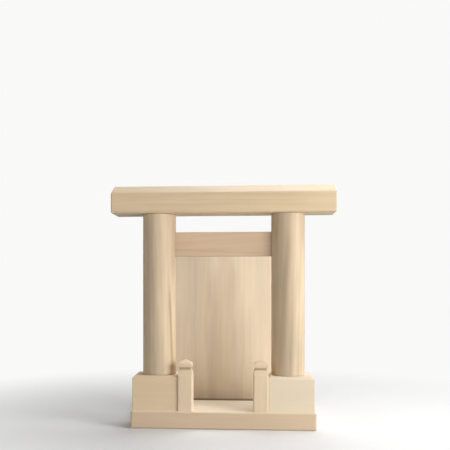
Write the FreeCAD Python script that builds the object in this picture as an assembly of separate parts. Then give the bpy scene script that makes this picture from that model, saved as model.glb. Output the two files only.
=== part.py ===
import FreeCAD, Part
import math
import os

# Talisman stand: a small plain-wood shrine gate on a base board, with a slanted seat behind it.
# Millimetres. The gate faces -Y, +X is its right-hand side seen from the front, and +Z is up.
# The origin is on the floor, at the middle of the base board.

# Base board
BASE_WIDTH = 98.5
BASE_DEPTH = 80.0
BASE_HEIGHT = 9.35
BASE_EDGE = 0.6

# Plinth blocks under the pillars, with a wide bevel round their tops
BLOCK_MARGIN = 0.65
BLOCK_WIDTH = 24.4
BLOCK_DEPTH = 20.6
BLOCK_HEIGHT = 18.7
BLOCK_SETBACK = 1.6
BLOCK_BEVEL = 1.3
BLOCK_CORNER = 0.3

# Round pillars, with a round tenon at each end
PILLAR_DIAMETER = 18.0
PILLAR_HEIGHT = 87.2
PILLAR_INSET = 10.8
PILLAR_EDGE = 0.4
TENON_DIAMETER = 8.0
TENON_LENGTH = 5.0
TENON_PLAY = 0.1

# Tie beam between the pillars, its ends let into them
TIE_HEIGHT = 13.15
TIE_THICKNESS = 5.0
TIE_TOP_DROP = 9.9
TIE_LET_IN = 4.0
TIE_PLAY = 0.1
TIE_EDGE = 0.3

# Top beam, five-sided in section like the ridge pole of an old shrine gate
BEAM_OVERHANG = 25.15
BEAM_DEPTH = 20.5
BEAM_FACE = 10.7
BEAM_RISE = 5.0
BEAM_EDGE = 0.5

# Small gate posts at the inner ends of the blocks
POST_SIDE = 8.1
POST_SHAFT = 19.05
POST_SHOULDER = 3.0
POST_SHOULDER_INSET = 0.7
POST_NECK = 1.05
POST_NECK_INSET = 1.1
POST_HEAD = 2.55
POST_HEAD_INSET = 0.4
POST_HEAD_ROUND = 0.45
POST_CAP = 1.8
POST_PROUD = 0.9
POST_CORNER = 0.6

# Slanted groove in the base, and the rest board that stands at its back
LEAN = 18.0
SEAT_SETBACK = 38.0
SEAT_LENGTH = 72.0
SEAT_ROOM = 7.0
SEAT_SINK = 5.0
REST_PLAY = 0.2
REST_THICKNESS = 5.0
REST_LENGTH = 98.0
REST_CORNER = 6.0
REST_EDGE = 0.5

# Places that follow from the sizes above
base_front = -BASE_DEPTH / 2
block_front = base_front + BLOCK_SETBACK
gate_middle = block_front + BLOCK_DEPTH / 2
block_outer = BASE_WIDTH / 2 - BLOCK_MARGIN
block_inner = block_outer - BLOCK_WIDTH
pillar_axis = block_inner + PILLAR_INSET
block_top = BASE_HEIGHT + BLOCK_HEIGHT
beam_bottom = block_top + PILLAR_HEIGHT
tie_top = beam_bottom - TIE_TOP_DROP
lean_slope = math.tan(math.radians(LEAN))
lean_stretch = 1 / math.cos(math.radians(LEAN))


def box(x_range, y_range, z_range):
    """A block between two corners."""
    size = [high - low for low, high in (x_range, y_range, z_range)]
    corner = FreeCAD.Vector(x_range[0], y_range[0], z_range[0])
    return Part.makeBox(*size, corner)


def prism(points, along):
    """A flat outline pushed along a vector."""
    closed = [FreeCAD.Vector(*point) for point in points + points[:1]]
    return Part.Face(Part.makePolygon(closed)).extrude(FreeCAD.Vector(*along))


def soften(shape, size, wanted=lambda edge: True):
    """Plane a small flat on the edges that are wanted."""
    edges = [edge for edge in shape.Edges if wanted(edge)]
    return shape.makeChamfer(size, edges)


def runs_along(edge, axis):
    """True for a straight edge that lies along X (0), Y (1) or Z (2)."""
    if len(edge.Vertexes) < 2:
        return False
    step = edge.Vertexes[1].Point - edge.Vertexes[0].Point
    return abs(step[axis]) > 0.999 * step.Length


def base_board():
    board = box((-BASE_WIDTH / 2, BASE_WIDTH / 2), (base_front, -base_front), (0, BASE_HEIGHT))
    return soften(board, BASE_EDGE).cut(seat_groove())


def seat_edge_y(z):
    """Where the groove's front wall is at a height, measured front to back."""
    return base_front + SEAT_SETBACK + (z - BASE_HEIGHT) * lean_slope


def seat_groove():
    """The groove leans back, and is wider than the rest board so that there is room in front of it."""
    floor = BASE_HEIGHT - SEAT_SINK
    above = BASE_HEIGHT + SEAT_SINK
    across = (SEAT_ROOM + REST_THICKNESS) * lean_stretch
    left = -SEAT_LENGTH / 2
    outline = [
        (left, seat_edge_y(floor), floor),
        (left, seat_edge_y(floor) + across, floor),
        (left, seat_edge_y(above) + across, above),
        (left, seat_edge_y(above), above),
    ]
    return prism(outline, (SEAT_LENGTH, 0, 0))


def rest_board():
    """A thin board glued to the groove's back wall, with its upper corners rounded."""
    foot = BASE_HEIGHT - SEAT_SINK
    head = foot + REST_LENGTH / lean_stretch
    front = SEAT_ROOM * lean_stretch
    back = front + REST_THICKNESS * lean_stretch
    left = REST_PLAY - SEAT_LENGTH / 2
    outline = [
        (left, seat_edge_y(foot) + front, foot),
        (left, seat_edge_y(foot) + back, foot),
        (left, seat_edge_y(head) + back, head),
        (left, seat_edge_y(head) + front, head),
    ]
    board = prism(outline, (-2 * left, 0, 0))

    def upper_corner(edge):
        return runs_along(edge, 1) and edge.CenterOfMass.z > head - REST_EDGE

    board = board.makeFillet(REST_CORNER, [edge for edge in board.Edges if upper_corner(edge)])
    upper = [edge for edge in board.Edges if edge.CenterOfMass.z > head - REST_CORNER]
    crown = [edge for edge in upper if not runs_along(edge, 1)]
    return board.makeChamfer(REST_EDGE, crown)


def tenon_hole(x, z):
    """A hole for a pillar's tenon, deep enough both ways to cut from either face."""
    radius = TENON_DIAMETER / 2 + TENON_PLAY
    depth = TENON_LENGTH + TENON_PLAY
    return Part.makeCylinder(radius, 2 * depth, FreeCAD.Vector(x, gate_middle, z - depth))


def plinth_block(side):
    left, right = sorted((side * block_outer, side * block_inner))
    front = block_front
    back = block_front + BLOCK_DEPTH
    shoulder = block_top - BLOCK_BEVEL

    def bevelled(low, high):
        return [
            (low, BASE_HEIGHT),
            (low, shoulder),
            (low + BLOCK_BEVEL, block_top),
            (high - BLOCK_BEVEL, block_top),
            (high, shoulder),
            (high, BASE_HEIGHT),
        ]

    stock = box((left, right), (front, back), (BASE_HEIGHT, block_top))
    stock = soften(stock, BLOCK_CORNER, lambda edge: runs_along(edge, 2))
    faced = prism([(x, front, z) for x, z in bevelled(left, right)], (0, BLOCK_DEPTH, 0))
    sided = prism([(left, y, z) for y, z in bevelled(front, back)], (BLOCK_WIDTH, 0, 0))
    block = stock.common(faced).common(sided)
    return block.cut(tenon_hole(side * pillar_axis, block_top))


def pillar(side):
    foot = FreeCAD.Vector(side * pillar_axis, gate_middle, block_top)
    shaft = Part.makeCylinder(PILLAR_DIAMETER / 2, PILLAR_HEIGHT, foot)
    shaft = soften(shaft, PILLAR_EDGE, lambda edge: edge.Closed)
    tenon_foot = foot - FreeCAD.Vector(0, 0, TENON_LENGTH)
    tenon = Part.makeCylinder(TENON_DIAMETER / 2, PILLAR_HEIGHT + 2 * TENON_LENGTH, tenon_foot)
    return shaft.fuse(tenon).removeSplitter().cut(tie_bar(TIE_PLAY))


def tie_bar(play):
    """The tie beam's bar, or with play the mortises that take its ends."""
    half_length = pillar_axis - PILLAR_DIAMETER / 2 + TIE_LET_IN + play
    half_thickness = TIE_THICKNESS / 2 + play
    depth = (gate_middle - half_thickness, gate_middle + half_thickness)
    return box((-half_length, half_length), depth, (tie_top - TIE_HEIGHT - play, tie_top + play))


def tie_beam():
    return soften(tie_bar(0), TIE_EDGE, lambda edge: runs_along(edge, 0))


def top_beam():
    front = gate_middle - BEAM_DEPTH / 2
    back = gate_middle + BEAM_DEPTH / 2
    eave = beam_bottom + BEAM_FACE
    end = pillar_axis + BEAM_OVERHANG
    section = [
        (-end, front, beam_bottom),
        (-end, back, beam_bottom),
        (-end, back, eave),
        (-end, gate_middle, eave + BEAM_RISE),
        (-end, front, eave),
    ]
    beam = soften(prism(section, (2 * end, 0, 0)), BEAM_EDGE)
    for side in (-1, 1):
        beam = beam.cut(tenon_hole(side * pillar_axis, beam_bottom))
    return beam


def post_profile():
    """Half-widths of the gate post with their heights, from its foot to its tip."""
    half = POST_SIDE / 2
    head_lip = POST_HEAD_INSET + POST_HEAD_ROUND
    steps = [
        (0, 0),
        (0, POST_SHAFT),
        (POST_SHOULDER_INSET, POST_SHOULDER),
        (POST_NECK_INSET, 0),
        (POST_NECK_INSET, POST_NECK),
        (head_lip, 0),
        (POST_HEAD_INSET, POST_HEAD_ROUND),
        (POST_HEAD_INSET, POST_HEAD - 2 * POST_HEAD_ROUND),
        (head_lip, POST_HEAD_ROUND),
        (half, POST_CAP),
    ]
    height = BASE_HEIGHT
    profile = []
    for inset, rise in steps:
        height += rise
        profile.append((half - inset, height))
    return profile


def gate_post(side):
    """The same profile worked on all four faces, so that the mouldings meet in mitres."""
    x = side * (block_inner - POST_SIDE / 2)
    y = block_front - POST_PROUD + POST_SIDE / 2
    reach = POST_SIDE / 2
    rising = post_profile()
    outline = rising + [(-half, height) for half, height in reversed(rising[:-1])]
    faced = prism([(x + half, y - reach, height) for half, height in outline], (0, POST_SIDE, 0))
    sided = prism([(x - reach, y + half, height) for half, height in outline], (POST_SIDE, 0, 0))
    post = faced.common(sided)
    floor = BASE_HEIGHT
    neck = floor + POST_SHAFT + POST_SHOULDER

    def shaft_corner(edge):
        return runs_along(edge, 2) and floor < edge.CenterOfMass.z < neck

    return soften(post, POST_CORNER, shaft_corner)


def main():
    nodes = {
        "base_board": base_board(),
        "rest_board": rest_board(),
        "tie_beam": tie_beam(),
        "top_beam": top_beam(),
    }
    for name, side in (("left", -1), ("right", 1)):
        nodes["plinth_block_" + name] = plinth_block(side)
        nodes["pillar_" + name] = pillar(side)
        nodes["gate_post_" + name] = gate_post(side)
    os.makedirs("parts", exist_ok=True)
    for name, shape in nodes.items():
        shape.exportStep("parts/" + name + ".step")
        print(name, shape.isValid(), len(shape.Solids), round(shape.Volume, 1), shape.BoundBox)


main()
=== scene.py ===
import bmesh
import bpy
import math
from collections import namedtuple
from mathutils import Euler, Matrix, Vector


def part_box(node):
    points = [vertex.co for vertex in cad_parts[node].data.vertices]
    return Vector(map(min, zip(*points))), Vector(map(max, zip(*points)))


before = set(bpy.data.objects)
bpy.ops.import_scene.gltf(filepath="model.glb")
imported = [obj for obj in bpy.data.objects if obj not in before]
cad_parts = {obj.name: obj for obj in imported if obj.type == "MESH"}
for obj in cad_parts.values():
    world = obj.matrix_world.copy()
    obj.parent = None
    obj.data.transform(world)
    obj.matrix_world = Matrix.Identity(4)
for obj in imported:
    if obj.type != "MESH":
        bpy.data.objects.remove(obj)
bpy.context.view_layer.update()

# Camera, from the photograph's depth lines: pixels of a 450 x 450 picture, the sensor's width
# in millimetres, then metres and radians
PICTURE_SIDE = 450
FOCAL_PIXELS = 690
CENTRE_X = 191.5
CENTRE_Y = 291.2
SENSOR = 36.0
EYE = (0.0113, -0.4048, 0.0751)
EYE_YAW = 0.0761
EYE_PITCH = -0.0049
EYE_ROLL = 0.0006
NEAREST_SEEN = 0.01
FARTHEST_SEEN = 10.0

# Studio sweep: its shape in metres, what it shows, what it throws back up, and how its far part glows
SWEEP_RADIUS = 1.6
SWEEP_WALL = 1.5
SWEEP_CURVE = 0.7
SWEEP_CURVE_STEPS = 12
SWEEP_SIDES = 64
SWEEP_MERGE = 0.0001
SWEEP_TONE = (0.86, 0.86, 0.86, 1.0)
SWEEP_BOUNCE = (0.50, 0.50, 0.48, 1.0)
SWEEP_ROUGHNESS = 0.8
SWEEP_GLOSS = 0.2
SWEEP_GLOW = (0.95, 0.95, 0.945, 1.0)
GLOW_FROM = 0.05
GLOW_TO = 0.26

# Studio lights: each one's place, side and watts
SKY_TONE = (1.0, 1.0, 1.0, 1.0)
SKY_STRENGTH = 0.12
LIGHT_AIM = (0.0, -0.02, 0.06)
LIGHTS = {
    "window": ((0.319, -0.287, 0.118), 0.20, 1.04),
    "side_window": ((0.386, -0.176, 0.118), 0.20, 0.447),
    "window_top": ((0.289, -0.137, 0.341), 0.20, 0.157),
    "left_fill": ((-0.35, -0.35, 0.12), 0.25, 0.51),
    "side_ceiling": ((0.20, -0.05, 0.30), 0.15, 0.221),
    "side_back": ((0.22, 0.09, 0.26), 0.15, 0.227),
    "back_ceiling": ((0.05, 0.15, 0.45), 0.25, 0.905),
}

# Hinoki wood's colours, and how much of the end wood's a face takes on as it turns across the grain
EARLY_WOOD = (0.80, 0.635, 0.435)
LATE_WOOD = (0.64, 0.455, 0.285)
END_WOOD = (0.66, 0.49, 0.31)
END_SHARE = 0.45
END_SHARPNESS = 6.0

# Growth rings: how far they wander in metres, how unevenly they crowd, how late wood comes in over
# one year, and how much of it shows where the rings are quiet
RING_WANDER = 0.0034
RING_CROWDING = 2.6
CROWDING_PACE = 0.4
CROWDING_DETAIL = 1.0
RING_SHADES = [(0.0, 0.0), (0.5, 0.15), (0.84, 0.8), (0.92, 1.0), (1.0, 0.0)]
QUIET_RINGS = 0.35

# Noise in the wood: waves per metre across the grain and along it, and the values that its shades
# run between
WANDER_WAVES = (40.0, 15.0)
HAIR_WAVES = (1500.0, 40.0)
STREAK_WAVES = (430.0, 24.0)
BAND_WAVES = (110.0, 20.0)
WAVE_DETAIL = 2.0
WAVE_ROUGHNESS = 0.5
WAVE_SPAN = (0.3, 0.7)
CRISP_SPAN = (0.35, 0.65)

# How much bands, streaks and hairs darken the most figured wood, and the contrasts that set the scale
BAND_DEPTH = 0.17
STREAK_DEPTH = 0.10
HAIR_DEPTH = 0.04
PLAIN_FIGURE = 0.05
STRONG_CONTRAST = 0.6

# Planed surface: its roughness from hair to hair, its gloss and sheen, the shares of hairs and
# rings in its relief, and the relief's height in metres
HAIR_ROUGHNESS = (0.5, 0.62)
WOOD_GLOSS = 0.35
SHEEN = 0.22
SHEEN_ROUGHNESS = 0.45
HAIR_RELIEF = 0.6
RING_RELIEF = 0.4
RELIEF_STRENGTH = 0.25
RELIEF_HEIGHT = 0.00006

# Each piece's stick of wood: its turn from upright, where the piece lies from the tree's heart,
# the rings' width, how strongly they show, and the stick's tint, which on the right block is painted
# highlight
ACROSS = math.radians(-90)
TILT = math.radians(1.2)
SLOPE = math.radians(2.6)
LEAN = math.radians(18)
Stick = namedtuple("Stick", "turn heart ring_width contrast tint")
STICKS = {
    "base_board": Stick((0.0, ACROSS, 0.0), (-0.055, 0.020, 0.0), 0.0026, 0.16, (0.965, 0.925, 0.935)),
    "plinth_block_left": Stick((0.0, ACROSS, 0.0), (0.025, 0.110, 0.3), 0.0024, 0.12, (1.05, 1.02, 0.99)),
    # The right block's pale, grey tint is painted highlight, the glare of the lights close on its right
    "plinth_block_right": Stick((0.0, ACROSS, 0.0), (-0.012, 0.120, 0.7), 0.0024, 0.04,
                                (1.055, 1.125, 1.235)),
    "pillar_left": Stick((0.0, TILT, 0.0), (0.035, -0.012, 0.2), 0.0042, 0.6, (1.04, 1.035, 1.03)),
    "pillar_right": Stick((0.0, -TILT, 0.0), (-0.030, -0.020, 0.6), 0.0040, 0.6, (0.955, 0.945, 0.935)),
    "tie_beam": Stick((0.0, ACROSS + SLOPE, 0.0), (-0.050, 0.050, 0.4), 0.0026, 0.28, (0.965, 0.89, 0.885)),
    "top_beam": Stick((0.0, ACROSS, 0.0), (-0.060, 0.030, 0.9), 0.0024, 0.29, (1.05, 1.02, 0.965)),
    "gate_post_left": Stick((0.0, 0.0, 0.0), (0.020, 0.075, 0.5), 0.0020, 0.18, (1.055, 1.05, 1.08)),
    "gate_post_right": Stick((0.0, 0.0, 0.0), (-0.025, 0.090, 1.1), 0.0020, 0.18, (1.055, 1.05, 1.08)),
    "rest_board": Stick((LEAN, 0.0, 0.0), (0.004, 0.050, 1.3), 0.0028, 0.28, (1.12, 1.17, 1.27)),
}

# Lone dark growth lines on the fronts: the axis that each runs along, the axis across it,
# its start and end along, its place across at both, its width, its strength, and the depth
# in Y that its piece's front half ends at
GrowthLine = namedtuple("GrowthLine", "along across run places width strength front")
GROWTH_LINES = {
    "pillar_left": GrowthLine("Z", "X", (0.028, 0.082), (-0.02715, -0.0289), 0.0014, 1.0, -0.0285),
    "tie_beam": GrowthLine("X", "Z", (-0.034, 0.034), (0.0960, 0.0929), 0.0011, 0.32, -0.0275),
}

# A growth line's darkest tone, its shades from side to side, the widths that these are spread
# over, and how far its two ends take to fade
LINE_TONE = (0.72, 0.64, 0.55)
LINE_SHADES = [(0.0, 1.0), (0.40, 1.03), (0.44, 1.03), (0.49, LINE_TONE), (0.53, LINE_TONE),
               (0.60, 0.94), (0.80, 1.0)]
LINE_REACH = 8
LINE_START_FADE = 0.006
LINE_END_FADE = 0.018

# Painted shade in recesses, where the groove, the rest board's foot in it and the posts' necks lie in
# shade: two corners of each box, and its tone
PaintedShade = namedtuple("PaintedShade", "low high tone")
PAINTED_SHADE_BOXES = {
    "base_board": PaintedShade((-0.0365, -0.005, 0.003), (0.0365, 0.013, 0.0090), (0.40, 0.36, 0.30)),
    "rest_board": PaintedShade((-0.040, -0.020, 0.0), (0.040, 0.020, 0.0092), (0.42, 0.38, 0.32)),
    "gate_post_left": PaintedShade((-0.030, -0.050, 0.0314), (-0.010, -0.020, 0.0325), (0.66, 0.60, 0.52)),
    "gate_post_right": PaintedShade((0.010, -0.050, 0.0314), (0.030, -0.020, 0.0325), (0.66, 0.60, 0.52)),
}
PAINTED_SHADE_SOFT = 0.0003

# Painted light on upper faces, a paler, whiter tone for the light that falls on the top, and how far up a
# face turns as that sets in
PAINTED_TOP_LIGHT = {"base_board": (1.12, 1.27, 1.42)}
TOP_LIGHT_LEVEL = (0.5, 0.9)

# The numbers of a mix node's sockets for colours
MIX_SHARE = 0
MIX_FIRST = 6
MIX_SECOND = 7
MIX_RESULT = 2


def connect(tree, socket, value):
    """Link another node's output to a socket, or set it to a value."""
    if isinstance(value, bpy.types.NodeSocket):
        tree.links.new(value, socket)
    else:
        socket.default_value = value


def add_node(tree, kind, settings=None, **sockets):
    """A new node with its settings, and its sockets linked or set."""
    node = tree.nodes.new(kind)
    for name, value in (settings or {}).items():
        setattr(node, name, value)
    for name, value in sockets.items():
        connect(tree, node.inputs[name.replace("_", " ")], value)
    return node


def arithmetic(tree, operation, first, second=0.0):
    node = add_node(tree, "ShaderNodeMath", {"operation": operation})
    connect(tree, node.inputs[0], first)
    connect(tree, node.inputs[1], second)
    return node.outputs[0]


def product(tree, *factors):
    """All the factors multiplied together."""
    share = factors[0]
    for factor in factors[1:]:
        share = arithmetic(tree, "MULTIPLY", share, factor)
    return share


def vector_length(tree, vector):
    node = add_node(tree, "ShaderNodeVectorMath", {"operation": "LENGTH"})
    tree.links.new(vector, node.inputs[0])
    return node.outputs["Value"]


def smooth_step(tree, value, zero_at, one_at):
    """Zero up to the first place, one past the second, and smooth between them."""
    node = add_node(tree, "ShaderNodeMapRange", {"interpolation_type": "SMOOTHSTEP"},
                    Value=value, From_Min=zero_at, From_Max=one_at)
    return node.outputs["Result"]


def grain_noise(tree, point, waves):
    """Noise from 0 to 1, drawn out along the grain."""
    across, along = waves
    drawn = add_node(tree, "ShaderNodeMapping", Vector=point, Scale=(across, across, along))
    node = add_node(tree, "ShaderNodeTexNoise", Vector=drawn.outputs[0], Scale=1.0, Detail=WAVE_DETAIL,
                    Roughness=WAVE_ROUGHNESS)
    return node.outputs["Fac"]


def ramp(tree, value, stops):
    """Shades or colours by value, each at its place from 0 to 1."""
    node = tree.nodes.new("ShaderNodeValToRGB")
    tree.links.new(value, node.inputs[0])
    points = node.color_ramp.elements
    while len(points) < len(stops):
        points.new(0.5)
    for point, (place, shade) in zip(points, stops):
        point.position = place
        point.color = (shade, shade, shade, 1.0) if isinstance(shade, float) else (*shade, 1.0)
    return node.outputs[0]


def span_ramp(tree, value, span, shades):
    """A ramp from one shade to another over a span."""
    return ramp(tree, value, list(zip(span, shades)))


def blend_colours(tree, share, first, second, mode="MIX"):
    node = add_node(tree, "ShaderNodeMix", {"data_type": "RGBA", "blend_type": mode})
    connect(tree, node.inputs[MIX_SHARE], share)
    connect(tree, node.inputs[MIX_FIRST], first)
    connect(tree, node.inputs[MIX_SECOND], second)
    return node.outputs[MIX_RESULT]


def toned(tree, colour, tone, share=1.0):
    """The colour multiplied by a tone, in full or in part."""
    return blend_colours(tree, share, colour, tone, "MULTIPLY")


def tinted(colour, tint):
    return [shade * share for shade, share in zip(colour, tint)] + [1.0]


def growth_rings(tree, point, ring_width):
    """How late the wood is in its year, by its distance from the heart and a slow wander."""
    flat = add_node(tree, "ShaderNodeVectorMath", {"operation": "MULTIPLY"})
    tree.links.new(point, flat.inputs[0])
    flat.inputs[1].default_value = (1.0, 1.0, 0.0)
    wander = product(tree, grain_noise(tree, point, WANDER_WAVES), RING_WANDER)
    radius = arithmetic(tree, "ADD", vector_length(tree, flat.outputs[0]), wander)
    years = arithmetic(tree, "DIVIDE", radius, ring_width)
    crowding = add_node(tree, "ShaderNodeTexNoise", {"noise_dimensions": "1D"},
                        W=product(tree, years, CROWDING_PACE), Scale=1.0, Detail=CROWDING_DETAIL)
    years = arithmetic(tree, "ADD", years, product(tree, crowding.outputs["Fac"], RING_CROWDING))
    return ramp(tree, arithmetic(tree, "FRACT", years), RING_SHADES)


def growth_line(tree, place, line):
    """A thin line's tone, darkest at one edge with slightly paler wood past it, and where it shows."""
    split = add_node(tree, "ShaderNodeSeparateXYZ", Vector=place)
    along = split.outputs[line.along]
    start, end = line.run
    slope = (line.places[1] - line.places[0]) / (end - start)
    middle = arithmetic(tree, "ADD", product(tree, along, slope), line.places[0] - slope * start)
    off = arithmetic(tree, "SUBTRACT", split.outputs[line.across], middle)
    spread = arithmetic(tree, "ADD", arithmetic(tree, "DIVIDE", off, LINE_REACH * line.width), 0.5)
    shades = LINE_SHADES
    # Paler wood lies under a level line, and on the right of an upright one
    if line.along == "Z":
        shades = [(1 - spot, shade) for spot, shade in reversed(shades)]
    starting = smooth_step(tree, along, start, start + LINE_START_FADE)
    ending = smooth_step(tree, along, end, end - LINE_END_FADE)
    ahead = arithmetic(tree, "LESS_THAN", split.outputs["Y"], line.front)
    return ramp(tree, spread, shades), product(tree, starting, ending, ahead, line.strength)


def inside(tree, place, shade_box):
    """One inside the space between two corners, and softly zero past it."""
    split = add_node(tree, "ShaderNodeSeparateXYZ", Vector=place)
    share = 1.0
    for spot, start, end in zip(split.outputs, shade_box.low, shade_box.high):
        for edge, soft in ((start, PAINTED_SHADE_SOFT), (end, -PAINTED_SHADE_SOFT)):
            side = add_node(tree, "ShaderNodeMapRange",
                            Value=spot, From_Min=edge - soft, From_Max=edge + soft)
            share = arithmetic(tree, "MULTIPLY", side.outputs["Result"], share)
    return share


def end_grain(tree, normal, turn):
    """How squarely a face lies across the grain."""
    turned = add_node(tree, "ShaderNodeMapping", {"vector_type": "NORMAL"}, Vector=normal, Rotation=turn)
    split = add_node(tree, "ShaderNodeSeparateXYZ", Vector=turned.outputs[0])
    across = arithmetic(tree, "ABSOLUTE", split.outputs["Z"])
    return product(tree, arithmetic(tree, "POWER", across, END_SHARPNESS), END_SHARE)


def hinoki(node, stick, centre):
    """Planed cypress: growth rings round the tree's heart, with fibres drawn out along the grain."""
    material = bpy.data.materials.new(node + "_hinoki")
    material.use_nodes = True
    tree = material.node_tree
    shader = tree.nodes["Principled BSDF"]
    place = add_node(tree, "ShaderNodeTexCoord").outputs["Object"]
    normal = add_node(tree, "ShaderNodeNewGeometry").outputs["Normal"]
    shift = Vector(stick.heart) - Euler(stick.turn).to_matrix() @ centre
    placed = add_node(tree, "ShaderNodeMapping", Vector=place, Rotation=stick.turn, Location=shift)
    point = placed.outputs[0]
    figure = (PLAIN_FIGURE + stick.contrast) / (PLAIN_FIGURE + STRONG_CONTRAST)

    # Rings show more in some bands than in others
    rings = growth_rings(tree, point, stick.ring_width)
    hairs = grain_noise(tree, point, HAIR_WAVES)
    streaks = grain_noise(tree, point, STREAK_WAVES)
    bands = grain_noise(tree, point, BAND_WAVES)
    strength = product(tree, span_ramp(tree, bands, CRISP_SPAN, (QUIET_RINGS, 1.0)), stick.contrast)
    early = tinted(EARLY_WOOD, stick.tint)
    late = tinted(LATE_WOOD, stick.tint)
    colour = blend_colours(tree, product(tree, rings, strength), early, late)

    # Bands, streaks and hairs each darken the wood a little
    colour = toned(tree, colour, span_ramp(tree, bands, WAVE_SPAN, (1.0, 1 - BAND_DEPTH * figure)))
    colour = toned(tree, colour, span_ramp(tree, streaks, CRISP_SPAN, (1 - STREAK_DEPTH * figure, 1.0)))
    colour = toned(tree, colour, span_ramp(tree, hairs, WAVE_SPAN, (1 - HAIR_DEPTH * figure, 1.0)))

    # What only some pieces have: a growth line, painted shade in recesses, and painted light on the top
    if node in GROWTH_LINES:
        tone, shown = growth_line(tree, place, GROWTH_LINES[node])
        colour = toned(tree, colour, tone, shown)
    # Painted shade: darker inside the boxes where this piece lies in shade
    if node in PAINTED_SHADE_BOXES:
        shade_box = PAINTED_SHADE_BOXES[node]
        colour = toned(tree, colour, (*shade_box.tone, 1.0), inside(tree, place, shade_box))
    # Painted light: upward faces are made paler and whiter
    if node in PAINTED_TOP_LIGHT:
        upward = add_node(tree, "ShaderNodeSeparateXYZ", Vector=normal).outputs["Z"]
        top_light_share = span_ramp(tree, upward, TOP_LIGHT_LEVEL, (0.0, 1.0))
        colour = toned(tree, colour, (*PAINTED_TOP_LIGHT[node], 1.0), top_light_share)

    # End grain is darker
    ends = end_grain(tree, normal, stick.turn)
    colour = blend_colours(tree, ends, colour, tinted(END_WOOD, stick.tint))
    tree.links.new(colour, shader.inputs["Base Color"])

    # Hairs and rings are felt as well as seen
    tree.links.new(span_ramp(tree, hairs, WAVE_SPAN, HAIR_ROUGHNESS), shader.inputs["Roughness"])
    shader.inputs["Specular IOR Level"].default_value = WOOD_GLOSS
    shader.inputs["Sheen Weight"].default_value = SHEEN
    shader.inputs["Sheen Roughness"].default_value = SHEEN_ROUGHNESS
    relief = arithmetic(tree, "ADD", product(tree, hairs, HAIR_RELIEF), product(tree, rings, RING_RELIEF))
    bump = add_node(tree, "ShaderNodeBump", Height=relief, Strength=RELIEF_STRENGTH, Distance=RELIEF_HEIGHT)
    tree.links.new(bump.outputs[0], shader.inputs["Normal"])
    return material


def sweep_shape():
    """A floor that curves up into a wall all round."""
    sweep = bmesh.new()
    profile = [(0.0, 0.0), (SWEEP_RADIUS - SWEEP_CURVE, 0.0)]
    for step in range(1, SWEEP_CURVE_STEPS + 1):
        turn = math.radians(90) * step / SWEEP_CURVE_STEPS
        reach = SWEEP_RADIUS - SWEEP_CURVE * (1 - math.sin(turn))
        profile.append((reach, SWEEP_CURVE * (1 - math.cos(turn))))
    profile.append((SWEEP_RADIUS, SWEEP_WALL))
    corners = [sweep.verts.new((reach, 0.0, height)) for reach, height in profile]
    edges = [sweep.edges.new(pair) for pair in zip(corners, corners[1:])]
    bmesh.ops.spin(sweep, geom=corners + edges, cent=(0, 0, 0), axis=(0, 0, 1),
                   angle=math.radians(360), steps=SWEEP_SIDES, use_merge=True)
    bmesh.ops.remove_doubles(sweep, verts=list(sweep.verts), dist=SWEEP_MERGE)
    bmesh.ops.recalc_face_normals(sweep, faces=list(sweep.faces))
    mesh = bpy.data.meshes.new("studio_sweep")
    sweep.to_mesh(mesh)
    sweep.free()
    for face in mesh.polygons:
        face.use_smooth = True
    return mesh


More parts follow.
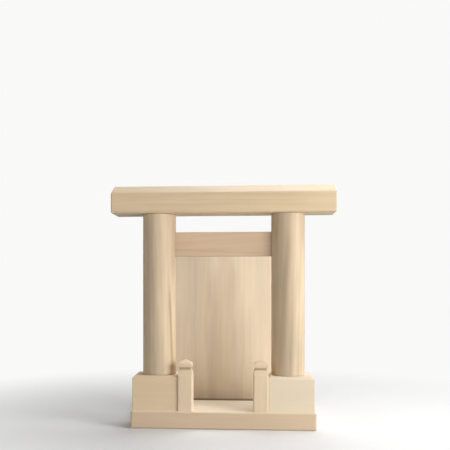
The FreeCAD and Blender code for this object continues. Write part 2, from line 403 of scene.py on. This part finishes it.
def sweep_paper():
    """Pale paper that throws less light up than it shows, and glows away from the object."""
    material = bpy.data.materials.new("studio_paper")
    material.use_nodes = True
    tree = material.node_tree
    shader = tree.nodes["Principled BSDF"]
    shader.inputs["Roughness"].default_value = SWEEP_ROUGHNESS
    shader.inputs["Specular IOR Level"].default_value = SWEEP_GLOSS
    seen = add_node(tree, "ShaderNodeLightPath").outputs["Is Camera Ray"]
    tree.links.new(blend_colours(tree, seen, SWEEP_BOUNCE, SWEEP_TONE), shader.inputs["Base Color"])
    place = add_node(tree, "ShaderNodeTexCoord").outputs["Object"]
    far = smooth_step(tree, vector_length(tree, place), GLOW_FROM, GLOW_TO)
    glow = add_node(tree, "ShaderNodeEmission", Color=SWEEP_GLOW)
    mix = tree.nodes.new("ShaderNodeMixShader")
    for socket, value in zip(mix.inputs, (product(tree, far, seen), shader.outputs[0], glow.outputs[0])):
        tree.links.new(value, socket)
    tree.links.new(mix.outputs[0], tree.nodes["Material Output"].inputs["Surface"])
    return material


def light_studio():
    """An even sky, and square lights that face the gate."""
    world = bpy.data.worlds.new("studio")
    bpy.context.scene.world = world
    world.use_nodes = True
    sky = world.node_tree.nodes["Background"]
    sky.inputs["Color"].default_value = SKY_TONE
    sky.inputs["Strength"].default_value = SKY_STRENGTH
    for name, (place, side, watts) in LIGHTS.items():
        lamp = bpy.data.lights.new(name, "AREA")
        lamp.shape = "SQUARE"
        lamp.size = side
        lamp.energy = watts
        light = bpy.data.objects.new(name, lamp)
        light.location = place
        aim = Vector(LIGHT_AIM) - Vector(place)
        light.rotation_euler = aim.to_track_quat("-Z", "Y").to_euler()
        light.visible_camera = False
        bpy.context.scene.collection.objects.link(light)


def place_camera():
    """The photograph's own view."""
    lens = bpy.data.cameras.new("camera")
    lens.sensor_width = SENSOR
    lens.lens = FOCAL_PIXELS / PICTURE_SIDE * SENSOR
    lens.shift_x = (PICTURE_SIDE / 2 - CENTRE_X) / PICTURE_SIDE
    lens.shift_y = (CENTRE_Y - PICTURE_SIDE / 2) / PICTURE_SIDE
    lens.clip_start = NEAREST_SEEN
    lens.clip_end = FARTHEST_SEEN
    camera = bpy.data.objects.new("camera", lens)
    camera.location = EYE
    camera.rotation_euler = (math.radians(90) + EYE_PITCH, EYE_ROLL, EYE_YAW)
    bpy.context.scene.collection.objects.link(camera)
    bpy.context.scene.camera = camera


for node, stick in STICKS.items():
    low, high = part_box(node)
    wood = hinoki(node, stick, (low + high) / 2)
    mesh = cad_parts[node].data
    mesh.materials.clear()
    mesh.materials.append(wood)

floor = bpy.data.objects.new("studio_sweep", sweep_shape())
floor.data.materials.append(sweep_paper())
bpy.context.scene.collection.objects.link(floor)
light_studio()
place_camera()
bpy.context.scene.view_settings.view_transform = "Standard"
